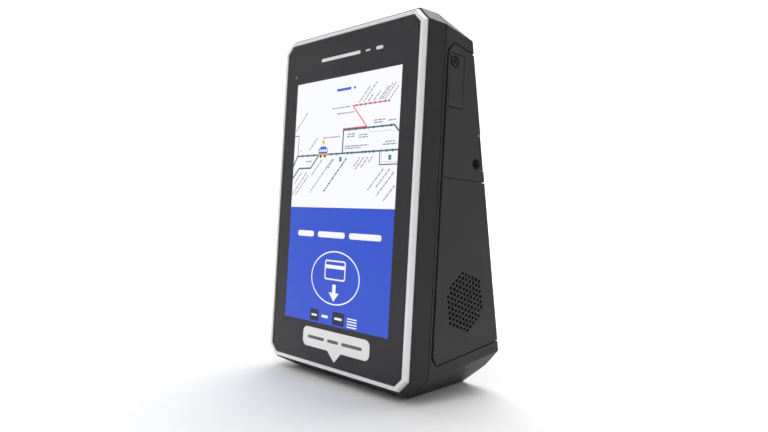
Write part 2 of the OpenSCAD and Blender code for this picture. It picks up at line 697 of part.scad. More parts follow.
module flap_seal() color("#171717") placed() on_side(flap_mid_y, flap_mid_z) difference() {
  block(-cover_back - pocket_d, -flap_t - 0.3, -flap_w / 2 + 0.5, flap_w / 2 - 0.5,
        -flap_h / 2 + 3.6, flap_h / 2 - 7);
  block(-2 * flap_t, 0, -flap_w / 2 + 1.5, flap_w / 2 - 1.5, -flap_h / 2 + 4.5, flap_h / 2 - 8);
}
module flap_screw() color("#1c1c1d") placed() on_side(flap_mid_y, flap_mid_z)
  translate([0, flap_screw_y, flap_screw_z]) difference() {
    union() {
      rod_x(flap_shank_r, -flap_t - 2, -flap_t + recess_floor + head_gap + eps);
      rod_x(screw_head_r, -flap_t + recess_floor + head_gap, -flap_t + recess_floor + head_gap + head_t);
    }
    rod_x(1, -flap_t + recess_floor + head_gap + 0.35, 2, $fn = 6);
  }
module service_board() color("#1f6b45") placed() on_side(flap_mid_y, flap_mid_z)
  block(-service_board_in, -socket_in - socket_d, -flap_w / 2 - 1, service_board_rear,
        -flap_h / 2 - 3, service_board_top);
module card_sockets() color("#c9cbcd") placed() on_side(flap_mid_y, flap_mid_z)
  for (z = [-9, 0.5]) translate([0, 0, z]) difference() {
    block(-socket_in - socket_d, -socket_in, -flap_w / 2 + 1.2, flap_w / 2 - 1.2, 0, 5.5);
    block(-socket_in - socket_d + 1, -socket_in + 1, -flap_w / 2 + 2.2, flap_w / 2 - 2.2, 1, 4.5);
  }

// Mounting bracket, whose folded tongues reach through slots into the rear shell
module tongue_slot() on_side(lock_y, lock_z)
  block(-tongue_in - plate_t - slot_gap, -tongue_in + slot_gap, -tongue_in, lock_in + 5,
        tongue_z0 - slot_gap, tongue_z1 + slot_gap);
module tongue() on_side(lock_y, lock_z) intersection() {
  block(-tongue_in - plate_t, -tongue_in, tongue_front, lock_in + 5, tongue_z0, tongue_z1);
  translate([0, lock_in - cover_t / 2, 0]) rotate([lean_angle, 0, 0])
    block(-40, 5, -60, 0, -40, 40);
}
module rear_bracket() color("#1a1a1b") placed() difference() {
  union() {
    intersection() {
      difference() {
        body_form(cover_t - plate_t, frame_d);
        body_form(cover_t, frame_d - 1);
      }
      bracket_shape(0);
    }
    for (side = [0, 1]) mirror([side, 0, 0]) tongue();
  }
  on_side(lock_y, lock_z) rod_x(lock_shank_r, -tongue_in - plate_t - 1, -tongue_in + 1);
  on_rear(plate_z) {
    rod_y(cable_r, -2 * inner_inset, 5);
    for (a = [45 : 90 : 315]) rotate([0, a, 0]) translate([bracket_pcd / 2, 0, 0])
      rod_y(bracket_hole_r, -2 * inner_inset, 5);
  }
}
module lock_screw() color("#101011") placed() on_side(lock_y, lock_z) difference() {
  union() {
    rod_x(lock_head_r, -cover_back - lock_head_t + lock_gap, -cover_back + lock_gap);
    rod_x(lock_shank_r, -lock_end, -cover_back - lock_head_t + lock_gap + eps);
  }
  rod_x(1.3, -cover_back - 0.8, 1, $fn = 6);
}

// Speaker behind the grille
module speaker_frame() color("#222224") placed() on_side(grille_y, grille_z) difference() {
  union() {
    rod_x(speaker_w / 2, -speaker_seat - 0.1 - flange_plate_t, -speaker_seat - 0.1);
    rod_x(basket_r, -speaker_seat - basket_d, -speaker_seat - 1);
  }
  rod_x(basket_r - 1, -speaker_seat - basket_d + 1, 0);
  rod_x(magnet_r - 2, -speaker_seat - basket_d - 1, 0);
}
module speaker_magnet() color("#6d7075") placed() on_side(grille_y, grille_z) {
  rod_x(magnet_r, -speaker_seat - basket_d - magnet_t, -speaker_seat - basket_d);
  rod_x(3, -speaker_seat - basket_d - 1, -speaker_seat - basket_d + 2.6);
}
module speaker_cone() color("#3c3a38") placed() on_side(grille_y, grille_z)
  rotate([0, 90, 0]) rotate_extrude($fn = 64) polygon([
    [4.4, -speaker_seat - basket_d + 1.6], [5, -speaker_seat - basket_d + 1.6],
    [5, -speaker_seat - 5.2], [cone_r - 1.2, -speaker_seat - 2.6], [cone_r - 1.2, -speaker_seat - 2],
    [5, -speaker_seat - 4.4], [0, -speaker_seat - 3.6], [0, -speaker_seat - 4.2],
    [4.4, -speaker_seat - 5]]);
module speaker_cloth() color("#101010") placed() on_side(grille_y, grille_z)
  rod_x(speaker_w / 2 - 1, -cover_back - cloth_t, -cover_back);

// Tamper switch, pressed by the back of the lower cover
module tamper_switch() color("#1d1d1e") placed() on_rear(tamper_z) translate([tamper_x, 0, 0])
  difference() {
    block(-4, 4, -inner_inset - 6, -inner_inset - 0.1, -4, 4);
    rod_y(plunger_r + 0.05, -inner_inset - 2.5 - plunger_travel - 0.5, 0);
  }
module tamper_plunger() color("#d8d2c0") placed() on_rear(tamper_z) translate([tamper_x, 0, 0])
  rod_y(plunger_r, -inner_inset - 2.5, -cover_t - plunger_gap);

// Cable entry in the middle of the bracket
module rear_connector() color("#141415") placed() on_rear(plate_z) difference() {
  block(-12, 12, -inner_inset - 11, -inner_inset - 0.1, -9, 9);
  block(-10.5, 10.5, -inner_inset - 9, 0, -7.5, 7.5);
}
module cable_grommet() color("#202020") placed() on_rear(plate_z) difference() {
  rod_y(cable_r - 0.1, -inner_inset, -0.3);
  rod_y(cable_r - 2, -inner_inset - 1, 1);
}

front_frame();
bezel_ring();
front_glass();
glass_tape();
scan_label();
touch_sensor();
display_panel();
backlight_tray();
light_sensor();
card_antenna();
ferrite_sheet();
mid_plate();
plate_screws();
board_standoffs();
main_board();
board_screws();
processor_shield();
heat_sink();
board_connectors();
display_ribbon();
modem_board();
radio_antenna();
power_board();
power_capacitors();
backup_battery();
sounder();
scanner_module();
scanner_holder();
scanner_window();
rear_shell();
shell_screws();
upper_cover();
lower_cover();
cover_screws();
service_flap();
flap_seal();
flap_hinge_pin();
flap_screw();
service_board();
card_sockets();
rear_bracket();
lock_screw();
speaker_frame();
speaker_magnet();
speaker_cone();
speaker_cloth();
tamper_switch();
tamper_plunger();
rear_connector();
cable_grommet();
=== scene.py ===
# %% [markdown]
# # A ticket validator, dressed in Blender
# The shape of this machine comes from a fixed mechanical model: fifty pieces, each in its true place.
# This file adds what the mechanical model leaves plain: soft edges on the mouldings, the lit display with
# its picture, the printed label, and a finish for every piece. It first loads that fixed model.

# %% Load the fixed model
import math
import random

import bmesh
import bpy
import json
from mathutils import Matrix, Vector


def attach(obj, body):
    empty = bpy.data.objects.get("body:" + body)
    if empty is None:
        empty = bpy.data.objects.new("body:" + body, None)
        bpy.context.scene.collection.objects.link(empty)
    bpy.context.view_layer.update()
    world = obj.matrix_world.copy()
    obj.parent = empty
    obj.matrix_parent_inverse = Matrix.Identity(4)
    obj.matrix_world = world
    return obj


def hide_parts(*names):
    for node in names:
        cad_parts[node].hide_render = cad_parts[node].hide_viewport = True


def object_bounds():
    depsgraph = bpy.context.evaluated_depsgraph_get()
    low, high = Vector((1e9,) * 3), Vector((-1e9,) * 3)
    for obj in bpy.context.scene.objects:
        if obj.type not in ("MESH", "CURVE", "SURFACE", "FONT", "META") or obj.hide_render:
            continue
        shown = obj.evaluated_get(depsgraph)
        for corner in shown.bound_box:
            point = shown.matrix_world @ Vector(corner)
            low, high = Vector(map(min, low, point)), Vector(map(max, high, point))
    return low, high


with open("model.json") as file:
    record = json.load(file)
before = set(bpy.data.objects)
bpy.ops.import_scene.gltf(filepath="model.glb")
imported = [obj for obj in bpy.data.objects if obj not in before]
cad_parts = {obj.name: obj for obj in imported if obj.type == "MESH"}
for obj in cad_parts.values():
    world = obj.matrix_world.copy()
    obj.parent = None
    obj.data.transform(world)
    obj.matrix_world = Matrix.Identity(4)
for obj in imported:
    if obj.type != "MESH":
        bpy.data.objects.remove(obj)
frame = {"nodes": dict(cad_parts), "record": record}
cad_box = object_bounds()
MM = 0.001
low, high = cad_box
body_h = (high - low).z

# %% [markdown]
# ## The camera
# A product picture of this machine is taken from its right, at the height of the display, so that the front
# and the speaker side share the view. The camera is set by the angles one would name aloud: how far it
# is walked round, how much it looks up or down, and how much it is tilted. Its distance is in metres.

# %% Camera
view_turn = math.radians(45.09)
view_pitch = math.radians(1.10)
view_roll = math.radians(3.13)
camera_data = bpy.data.cameras.new("camera")
camera_data.sensor_width = 36
camera_data.lens = 29.29
camera_data.clip_start = 0.01
camera = bpy.data.objects.new("camera", camera_data)
bpy.context.collection.objects.link(camera)
upright_camera = Matrix.Rotation(math.radians(90), 4, "X")
camera.matrix_world = (Matrix.Translation((0.28508, -0.28335, 0.09452))
                       @ Matrix.Rotation(view_turn, 4, "Z") @ Matrix.Rotation(view_pitch, 4, "X")
                       @ Matrix.Rotation(-view_roll, 4, "Y") @ upright_camera)
bpy.context.scene.camera = camera
middle = Vector((0, 0, body_h / 2))
print("lens", camera_data.lens, "mm, camera", round((camera.location - middle).length, 3),
      "m from the middle of the body")

# %% [markdown]
# ## The stage
# The machine stands in a pale bowl: a round floor that curves up into a wall on every side, like the
# infinity cove of a studio. It has no line at the horizon, so nothing competes with the black body,
# whichever side is looked at. Its profile is a floor, a quarter circle and a wall, turned once about the
# upright.

# %% Sweep
wall_far, bend, wall_top = 2.6, 1.1, 3.2
turns, bend_steps = 96, 24
floor_gap = 0.0002
profile = []
for step in range(bend_steps + 1):
    angle = math.radians(90 * step / bend_steps)
    profile.append((wall_far - bend + bend * math.sin(angle), bend - bend * math.cos(angle)))
profile.append((wall_far, wall_top))
sweep_mesh = bpy.data.meshes.new("sweep")
maker = bmesh.new()
rings = [[maker.verts.new((out * math.cos(math.tau * i / turns), out * math.sin(math.tau * i / turns), up))
          for i in range(turns)] for out, up in profile]
maker.faces.new(rings[0])
for inner, outer in zip(rings, rings[1:]):
    for i in range(turns):
        j = (i + 1) % turns
        maker.faces.new((inner[i], outer[i], outer[j], inner[j])).smooth = True
bmesh.ops.recalc_face_normals(maker, faces=maker.faces)
maker.to_mesh(sweep_mesh)
maker.free()
sweep = bpy.data.objects.new("sweep", sweep_mesh)
bpy.context.collection.objects.link(sweep)
sweep.location.z = low.z - floor_gap
print("bowl", 2 * wall_far, "m across and", wall_top, "m high")

# %% [markdown]
# ## Shader maths as plain expressions
# A finish is made of numbers that change over a surface. Written as nodes they are hard to read, so this
# small class wraps a node's output, and ordinary operators on it add the Math nodes. A number is folded in
# as it is. Every other node comes from one method, which sets the node's own settings before its sockets.

# %% A wrapped socket and a finish
class Value:
    def __init__(self, finish, socket):
        self.finish, self.socket = finish, socket

    def maths(self, operation, *others, swap=False):
        values = [self, *others]
        if swap:
            values.reverse()
        return self.finish.node("ShaderNodeMath", {"operation": operation}, dict(enumerate(values)))

    def __add__(self, other):
        return self.maths("ADD", other)

    def __sub__(self, other):
        return self.maths("SUBTRACT", other)

    def __rsub__(self, other):
        return self.maths("SUBTRACT", other, swap=True)

    def __mul__(self, other):
        return self.maths("MULTIPLY", other)

    def __gt__(self, other):
        return self.maths("GREATER_THAN", other)

    def sine(self):
        return self.maths("SINE")

    __radd__, __rmul__ = __add__, __mul__


class Finish:
    """A material with one Principled shader and short ways to add nodes to it."""

    def __init__(self, name, color, rough, metal=0.0, **sockets):
        self.material = bpy.data.materials.new(name)
        self.material.use_nodes = True
        self.tree = self.material.node_tree
        self.shader = self.tree.nodes["Principled BSDF"]
        self.material.diffuse_color = (*color, 1)
        self.put("Base Color", (*color, 1))
        self.put("Roughness", rough)
        self.put("Metallic", metal)
        for socket, value in sockets.items():
            self.put(socket.replace("_", " "), value)

    def put(self, socket, value):
        if isinstance(value, Value):
            self.tree.links.new(value.socket, self.shader.inputs[socket])
        else:
            self.shader.inputs[socket].default_value = value

    def node(self, kind, settings=None, inputs=None, output=0):
        made = self.tree.nodes.new(kind)
        for name, value in (settings or {}).items():
            setattr(made, name, value)
        for name, value in (inputs or {}).items():
            if isinstance(value, Value):
                self.tree.links.new(value.socket, made.inputs[name])
            else:
                made.inputs[name].default_value = value
        return Value(self, made.outputs[output])

    def place(self):
        return self.node("ShaderNodeTexCoord", output="Object")

    def axes(self):
        made = self.tree.nodes.new("ShaderNodeSeparateXYZ")
        self.tree.links.new(self.place().socket, made.inputs[0])
        return [Value(self, made.outputs[axis]) for axis in range(3)]

    def noise(self, size, detail=2.0, rough=0.5, place=None):
        return self.node("ShaderNodeTexNoise", {}, {"Vector": place or self.place(), "Scale": 1 / size,
                                                    "Detail": detail, "Roughness": rough})

    def cells(self, size):
        return self.node("ShaderNodeTexVoronoi", {}, {"Vector": self.place(), "Scale": 1 / size}, "Distance")

    def blend(self, mask, first, second):
        made = self.tree.nodes.new("ShaderNodeMix")
        made.data_type = "RGBA"
        self.tree.links.new(mask.socket, made.inputs["Factor"])
        for socket, value in ((made.inputs[6], first), (made.inputs[7], second)):
            if isinstance(value, Value):
                self.tree.links.new(value.socket, socket)
            else:
                socket.default_value = (*value, 1)
        return Value(self, made.outputs[2])

    def relief(self, height, depth):
        self.put("Normal", self.node("ShaderNodeBump", {}, {"Height": height, "Distance": depth,
                                                            "Strength": 1.0}))


finishes = {}
print("shader helpers ready")

# %% [markdown]
# ## Moulded plastic
# The shell and its covers are injection moulded, with a fine spark-eroded grain that scatters light. Two
# sizes of noise make it: grains of a third of a millimetre in the relief, and a slow drift in colour and
# roughness, because no moulding is even. The frame round the glass is the same plastic with a finer polish.

# %% Moulded plastics
def moulded(name, color, rough, grain, depth, drift=0.12):
    finish = Finish(name, color, rough, Specular_IOR_Level=0.3)
    slow = finish.noise(0.035, 3)
    fine = finish.noise(grain, 2, 0.6)
    lighter = tuple(c * (1 + drift) + 0.002 for c in color)
    darker = tuple(c * (1 - drift) for c in color)
    finish.put("Base Color", finish.blend(slow, darker, lighter))
    finish.put("Roughness", (rough - 0.05) + 0.06 * slow + 0.05 * fine)
    finish.relief(fine, depth)
    return finish


finishes["shell_plastic"] = moulded("shell plastic", (0.024, 0.0235, 0.025), 0.52, 0.00035, 0.00003)
finishes["cover_plastic"] = moulded("cover plastic", (0.0255, 0.0248, 0.0265), 0.50, 0.00035, 0.00003)
finishes["black_frame"] = moulded("frame plastic", (0.011, 0.0108, 0.0114), 0.46, 0.0003, 0.00002)
finishes["black_parts"] = moulded("black inner plastic", (0.016, 0.016, 0.017), 0.6, 0.0004, 0.00003)
finishes["connector_plastic"] = moulded("nylon", (0.62, 0.59, 0.5), 0.5, 0.0004, 0.00001, 0.05)
print(len(finishes), "plastics")

# %% [markdown]
# ## The bright bezel, the glass and the foam
# The ring round the glass is plastic with a satin silver lacquer. Lacquer flakes are small and lie nearly
# flat, so the ring is nearly metallic, with a faint sparkle in its roughness. The glass carries a printed
# charcoal border on its inner face. From outside one sees a dark, even colour under a clear gloss.

# %% Ring, glass, foam and label
ring = Finish("satin silver lacquer", (0.78, 0.78, 0.79), 0.34, 0.35, Coat_Weight=0.25, Coat_Roughness=0.2)
flake = ring.cells(0.00025)
ring.put("Base Color", ring.blend(ring.noise(0.02, 2), (0.74, 0.74, 0.755), (0.82, 0.82, 0.825)))
ring.put("Roughness", 0.3 + 0.14 * flake)
ring.relief(ring.noise(0.0006, 2), 0.000006)
finishes["bright_ring"] = ring

glass = Finish("printed glass", (0.036, 0.034, 0.037), 0.2, Specular_IOR_Level=0.24)
smear = glass.noise(0.03, 4, 0.55)
print_dust = glass.cells(0.0012)
glass.put("Base Color", glass.blend(smear, (0.027, 0.0255, 0.0275), (0.032, 0.0305, 0.033)))
glass.put("Roughness", 0.16 + 0.1 * smear + 0.02 * print_dust)
finishes["cover_glass"] = glass

foam = Finish("black foam", (0.012, 0.012, 0.012), 0.9)
foam.relief(foam.cells(0.0005), 0.0001)
foam.put("Roughness", 0.84 + 0.12 * foam.noise(0.002))
finishes["black_foam"] = foam

vinyl = Finish("label vinyl", (0.86, 0.86, 0.85), 0.38)
vinyl.put("Base Color", vinyl.blend(vinyl.noise(0.01, 2), (0.83, 0.825, 0.81), (0.88, 0.88, 0.875)))
vinyl.put("Roughness", 0.34 + 0.1 * vinyl.noise(0.003))
vinyl.relief(vinyl.noise(0.0015, 2), 0.000008)
finishes["label_film"] = vinyl
print(len(finishes), "finishes so far")

# %% [markdown]
# ## Metals
# Turned, pressed and rolled parts differ in the direction of their fine scratches. Stretching the noise
# along one axis gives rolled sheet its lines. Cast and sintered parts get a round-grained noise.

# %% Metals
def metal(name, color, rough, stretch=(1, 1, 1), depth=0.000004, sheen=1.0):
    finish = Finish(name, color, rough, sheen)
    place = finish.node("ShaderNodeVectorMath", {"operation": "MULTIPLY"},
                        {0: finish.place(), 1: stretch})
    lines = finish.noise(0.0004, 3, 0.6, place)
    finish.put("Base Color", finish.blend(lines, tuple(c * 0.86 for c in color), color))
    finish.put("Roughness", (rough - 0.08) + 0.16 * lines)
    finish.relief(lines, depth)
    return finish


finishes["steel"] = metal("zinc plated steel", (0.52, 0.53, 0.55), 0.34)
finishes["plate_alloy"] = metal("rolled alloy", (0.63, 0.64, 0.65), 0.36, (1, 1, 0.05))
finishes["brass"] = metal("turned brass", (0.66, 0.48, 0.2), 0.28)
finishes["sink_alloy"] = metal("black anodised alloy", (0.07, 0.07, 0.075), 0.42, sheen=0.6)
finishes["ferrite"] = metal("ferrite", (0.06, 0.055, 0.05), 0.6, depth=0.00002, sheen=0.3)
finishes["black_steel"] = metal("black oxide steel", (0.02, 0.02, 0.021), 0.4, depth=0.00001, sheen=0.55)
print(len(finishes), "finishes so far")

# %% [markdown]
# ## Boards, films and sleeves
# A circuit board is green lacquer over copper tracks. Two square waves across the board, broken up by
# noise, stand for the tracks: the lacquer is lighter where copper lies under it, and stands a little higher.

# %% Boards and small parts
board = Finish("green board lacquer", (0.02, 0.17, 0.08), 0.36, Coat_Weight=0.3, Coat_Roughness=0.15)
across, _, upward = board.axes()
tracks = ((across * 2600).sine() > 0.35) * ((upward * 900).sine() > -0.2)
tracks = tracks * (board.noise(0.006, 1) > 0.5)
board.put("Base Color", board.blend(tracks, (0.012, 0.12, 0.055), (0.03, 0.24, 0.11)))
board.relief(tracks, 0.00003)
finishes["board"] = board


def glossy(name, color, rough=0.3):
    finish = Finish(name, color, rough, Coat_Weight=0.2, Coat_Roughness=0.1)
    slow = finish.noise(0.006, 3)
    finish.put("Base Color", finish.blend(slow, tuple(c * 0.9 for c in color), color))
    finish.put("Roughness", (rough - 0.05) + 0.1 * slow)
    return finish


finishes["flex_film"] = glossy("amber film", (0.55, 0.27, 0.07))
finishes["capacitor_can"] = glossy("capacitor sleeve", (0.03, 0.05, 0.17))
finishes["battery_wrap"] = glossy("battery sleeve", (0.05, 0.17, 0.45))
finishes["display"] = glossy("display film", (0.75, 0.78, 0.84), 0.25)
finishes["window_red"] = glossy("scanner window", (0.08, 0.01, 0.014), 0.08)

cloth = Finish("acoustic cloth", (0.007, 0.007, 0.007), 0.95, Specular_IOR_Level=0.1)
run, side, rise = cloth.axes()
weave = (run * 9000 + side * 9000).sine() * (rise * 9000).sine()
cloth.relief(weave, 0.00005)
cloth.put("Base Color", cloth.blend(weave, (0.004, 0.004, 0.004), (0.01, 0.01, 0.0105)))
finishes["cloth"] = cloth
print(len(finishes), "finishes in all")

# %% [markdown]
# ## Dressing the fixed pieces
# Every fixed piece takes the finish that its slot in the parts list names. Only its material changes. The
# pin of the flap's hinge is the one exception: its end shows in the open line beside the flap, where a
# bright dot would catch the eye, so it takes the black of the outer screws as painted shade in that line.

# %% Give each fixed piece its finish
slot_of = {part["node"]: part["material_slot"] for part in frame["record"]["subparts"]}
for node_name, node_object in frame["nodes"].items():
    node_object.data.materials.clear()
    # the hinge pin's black is painted shade that keeps the open line beside the flap dark
    finish_name = "black_steel" if node_name == "flap_hinge_pin" else slot_of[node_name]
    node_object.data.materials.append(finishes[finish_name].material)
print("dressed", len(frame["nodes"]), "pieces")

bodies = frame["record"]["behaviour"]["bodies"]
body_of_node = {node: body for body, nodes in bodies.items() for node in nodes}

# %% [markdown]
# ## Soft edges on the mouldings
# No moulded edge is a perfect line: a radius of a few tenths of a millimetre catches the light, and that
# thin highlight is what tells the eye how large a thing is. A copy of each visible shell has its flat faces
# joined, its sharp edges rounded by a bevel, and its flats kept flat with weighted normals. The copy then
# stands for the fixed piece.

# %% Rounded copies of the visible shells
weld_gap, flat_angle, edge_angle, edge_steps = 2e-6, math.radians(0.6), math.radians(22), 2


def rounded_copy(node, radius):
    source = frame["nodes"][node]
    mesh = source.data.copy()
    piece = bpy.data.objects.new(node + "_moulding", mesh)
    bpy.context.collection.objects.link(piece)
    cleaner = bmesh.new()
    cleaner.from_mesh(mesh)
    bmesh.ops.remove_doubles(cleaner, verts=cleaner.verts, dist=weld_gap)
    bmesh.ops.dissolve_limit(cleaner, angle_limit=flat_angle, verts=cleaner.verts, edges=cleaner.edges,
                             use_dissolve_boundaries=False)
    for face in cleaner.faces:
        face.smooth = True
    cleaner.to_mesh(mesh)
    cleaner.free()
    bevel = piece.modifiers.new("edge radius", "BEVEL")
    bevel.width = radius
    bevel.segments = edge_steps
    bevel.limit_method = "ANGLE"
    bevel.angle_limit = edge_angle
    bevel.use_clamp_overlap = True
    flats = piece.modifiers.new("flat faces", "WEIGHTED_NORMAL")
    flats.weight = 100
    flats.keep_sharp = False
    bpy.context.view_layer.update()
    made = bpy.data.meshes.new_from_object(piece.evaluated_get(bpy.context.evaluated_depsgraph_get()))
    piece.modifiers.clear()
    piece.data = made
    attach(piece, body_of_node[node])
    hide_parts(node)
    print(piece.name, len(made.polygons), "faces")
    return piece


soft_edges = {"front_frame": 0.45, "bezel_ring": 0.16, "front_glass": 0.1, "rear_shell": 0.35,
              "upper_cover": 0.25, "lower_cover": 0.14, "service_flap": 0.2, "rear_bracket": 0.15}
for node, radius in soft_edges.items():
    rounded_copy(node, radius * MM)

# %% [markdown]
# ## Printed and lit pictures
# The display, the title line and the label carry flat pictures. Each is built as thin films, a few
# hundredths of a millimetre thick, on the front of the glass. A film is a closed prism over an outline in
# millimetres, seen from the front. Words are not written: each is a plain bar of its length.

# %% Outlines and films
glass_front = frame["nodes"]["front_glass"]
front_y = min((glass_front.matrix_world @ Vector(corner)).y for corner in glass_front.bound_box)


def bar(x0, x1, z0, z1, radius=0.0, steps=6):
    if not radius:
        return [(x0, z0), (x1, z0), (x1, z1), (x0, z1)]
    points = []
    for x, z, start in ((x1, z0, -90), (x1, z1, 0), (x0, z1, 90), (x0, z0, 180)):
        cx = x - radius if x == x1 else x + radius
        cz = z + radius if z == z0 else z - radius
        for step in range(steps + 1):
            angle = math.radians(start + 90 * step / steps)
            points.append((cx + radius * math.cos(angle), cz + radius * math.sin(angle)))
    return points


def oval(x, z, half_w, half_h, steps=72):
    return [(x + half_w * math.cos(math.tau * i / steps), z + half_h * math.sin(math.tau * i / steps))
            for i in range(steps)]


def stroke(points, width, shift=0.0):
    """A line of one width through the points, with mitred corners, moved sideways by shift."""
    points = [Vector(p) for p in points]
    left, right = [], []
    for i, point in enumerate(points):
        before = (point - points[i - 1]).normalized() if i else (points[1] - point).normalized()
        after = (points[i + 1] - point).normalized() if i + 1 < len(points) else before
        bisector = (before + after).normalized()
        across_line = Vector((-bisector.y, bisector.x)) / max(0.3, bisector.dot(before))
        left.append(point + across_line * (shift + width / 2))
        right.append(point + across_line * (shift - width / 2))
    return [tuple(p) for p in right + left[::-1]]


film_t = 0.02 * MM


def film(name, outlines, finish, layer=0, on=front_y):
    """Closed prisms over the outlines; an outline given as a pair of loops is a ring."""
    maker = bmesh.new()
    back = on - layer * film_t
    front = back - film_t

    def loop(points, y):
        return [maker.verts.new((x * MM, y, z * MM)) for x, z in points]

    for outline in outlines:
        loops = outline if isinstance(outline[0], list) else [outline]
        pairs = [(loop(points, front), loop(points, back)) for points in loops]
        if len(pairs) == 1:
            maker.faces.new(pairs[0][0])
            maker.faces.new(pairs[0][1][::-1])
        else:
            for end in (0, 1):
                outer, inner = pairs[0][end], pairs[1][end]
                for i in range(len(outer)):
                    j = (i + 1) % len(outer)
                    maker.faces.new((outer[i], outer[j], inner[j], inner[i]))
        for ends in pairs:
            for i in range(len(ends[0])):
                j = (i + 1) % len(ends[0])
                maker.faces.new((ends[0][i], ends[1][i], ends[1][j], ends[0][j]))
    bmesh.ops.recalc_face_normals(maker, faces=maker.faces)
    mesh = bpy.data.meshes.new(name)
    maker.to_mesh(mesh)
    maker.free()
    piece = bpy.data.objects.new(name, mesh)
    bpy.context.collection.objects.link(piece)
    piece.data.materials.append(finish.material)
    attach(piece, "root")


print("front of the glass at", round(front_y / MM, 2), "mm")

# %% [markdown]
# ## Lit colours
# The display glows by itself and still lies under glass. Each lit colour is a dark base that gives off
# light, below a clear gloss, with a faint unevenness like that of a real backlight.

# %% Lit finishes
def lit(name, color):
    finish = Finish(name, (0.004, 0.004, 0.005), 0.2, Specular_IOR_Level=0.24)
    glow = finish.noise(0.05, 2)
    finish.put("Emission Color", finish.blend(glow, tuple(c * 0.95 for c in color), color))
    finish.put("Emission Strength", 1)
    finish.put("Roughness", 0.16 + 0.1 * finish.noise(0.03, 4, 0.55))
    return finish


lit_white = lit("lit white", (0.96, 0.965, 1.0))
lit_blue = lit("lit blue", (0.032, 0.088, 0.62))
lit_pale = lit("lit pale bars", (0.93, 0.95, 1.0))
lit_navy = lit("lit navy", (0.02, 0.03, 0.17))
lit_heading = lit("lit heading", (0.06, 0.13, 0.62))
lit_red = lit("lit red", (0.7, 0.16, 0.17))
lit_green = lit("lit green", (0.03, 0.25, 0.16))
lit_ink = lit("lit ink", (0.3, 0.29, 0.36))
lit_bold = lit("lit bold ink", (0.1, 0.095, 0.13))
lit_grey = lit("lit grey", (0.42, 0.42, 0.48))
lit_amber = lit("lit amber", (0.85, 0.48, 0.05))
lit_dark = lit("lit dark tile", (0.015, 0.02, 0.06))
print("lit finishes ready")

# %% [markdown]
# ## The display's picture
# The upper part is a route map on white: a main line with labels that hang from it at forty-five degrees,
# a branch above it, and side branches. The lower part asks for a card on blue: three bars for the words, and
# a plain card with an arrow inside an oval.

# %% Fields
screen_half, screen_low, screen_split, screen_high = 47.1, 34.3, 105.1, 184.9
film("screen_white_field", [bar(-screen_half, screen_half, screen_split, screen_high)], lit_white)
film("screen_blue_field", [bar(-screen_half, screen_half, screen_low, screen_split)], lit_blue)

# %% Map lines
main_z, upper_z, red_z, lower_z = 137.8, 151.8, 165.9, 130.0
main_line = [(-screen_half, main_z - 6.2), (-43.2, main_z), (screen_half, main_z)]
upper_line = [(0.8, main_z), (0.8, upper_z), (43.4, upper_z), (screen_half, upper_z - 3.7)]
west_line = [(-screen_half, upper_z - 1), (-43.3, upper_z - 1), (-43.3, main_z)]
lower_line = [(-21.5, main_z), (-29.2, lower_z), (-41, lower_z), (-screen_half, lower_z - 6.1)]
east_line = [(33, main_z), (33, lower_z), (screen_half, lower_z)]
red_line = [(0.2, upper_z + 0.9), (21, upper_z + 0.9), (8.2, red_z), (38.7, red_z)]
film("map_navy_lines", [stroke(line, 0.5, 0.32) for line in (main_line, upper_line, west_line, lower_line)]
     + [stroke(east_line, 0.6)], lit_navy, layer=1)
film("map_green_lines", [stroke(line, 0.48, -0.2) for line in (main_line, upper_line, lower_line)],
     lit_green, layer=1)
film("map_red_line", [stroke(red_line, 0.75)], lit_red, layer=2)
grey_lines = [[(34.4, main_z + 1.4), (34.4, lower_z + 1.5), (screen_half, lower_z + 1.4)],
              [(21, upper_z + 0.5), (24.5, upper_z - 2.6), (42, upper_z - 2.6)]]
film("map_grey_lines", [stroke(line, 0.25) for line in grey_lines], lit_grey, layer=1)
print("map lines ready")

# %% [markdown]
# ## Labels on the map
# Small print becomes rows of short dashes. Each label has a start, a heading and a length, and a seeded
# random generator breaks it into dashes as long as words.

# %% Labels
dice = random.Random(7)


def dashes(x, z, length, heading=0, height=0.8):
    """Short bars in a row from (x, z) along the heading, in degrees, up to the length."""
    direction = Vector((math.cos(math.radians(heading)), math.sin(math.radians(heading))))
    made, at = [], 0.0
    while at < length - 0.6:
        run = min(dice.uniform(1.0, 3.4), length - at)
        start = Vector((x, z)) + direction * at
        made.append(stroke([start, start + direction * run], height))
        at += run + 0.5
    return made


hanging = [(-18.1, 13.8), (-8.2, 29), (-6.6, 7.6), (16.7, 7.2), (19.9, 10.3), (23.6, 9.4),
           (27.1, 4.7)]
outer_hanging = [(36.5, 127.6, 18), (41.6, 127.5, 15.3), (45.1, 125.6, 18.8), (46.1, 118.1, 12.6),
                 (-38.3, 127, 9.3), (-32.7, 127.2, 20.5), (-30.8, 125.4, 17.9), (-23.6, 148.8, 10.7),
                 (-35.1, 165.6, 16)]
rising = [(17.2, 15.5), (13.3, 13), (21, 5.8), (25.9, 8.1), (30.3, 10.6), (32.3, 11.5), (34.9, 12),
          (39, 8.8)]
level = [(-11, 165.8, 17.4), (-6, 162.2, 15.8), (-17.8, 148.3, 16), (4.2, 149, 7), (4.2, 147.6, 7.4),
         (14.8, 148.1, 7.2), (14.8, 146.7, 7.8), (2.8, 141.9, 20.5), (2.8, 140.6, 14), (26.8, 155.7, 9.6),
         (26.8, 154.3, 8), (38.6, 154.8, 6.6), (37, 142.9, 8.4), (34.9, 141.4, 11), (-34, 134.2, 5.6),
         (-40.5, 141.2, 2.2)]
film("map_bold_label", dashes(4.8, main_z - 3, 28.2, -135, 1.0), lit_bold, layer=3)
ink = []
for x, length in hanging:
    ink += dashes(x, main_z - 3, length, -135, 0.75)
for x, z, length in outer_hanging:
    ink += dashes(x, z, length, -135, 0.75)
for x, length in rising:
    ink += dashes(x, red_z + 1.3, length, 45, 0.7)
for x, z, length in level:
    ink += dashes(x, z, length, 0, 0.7)
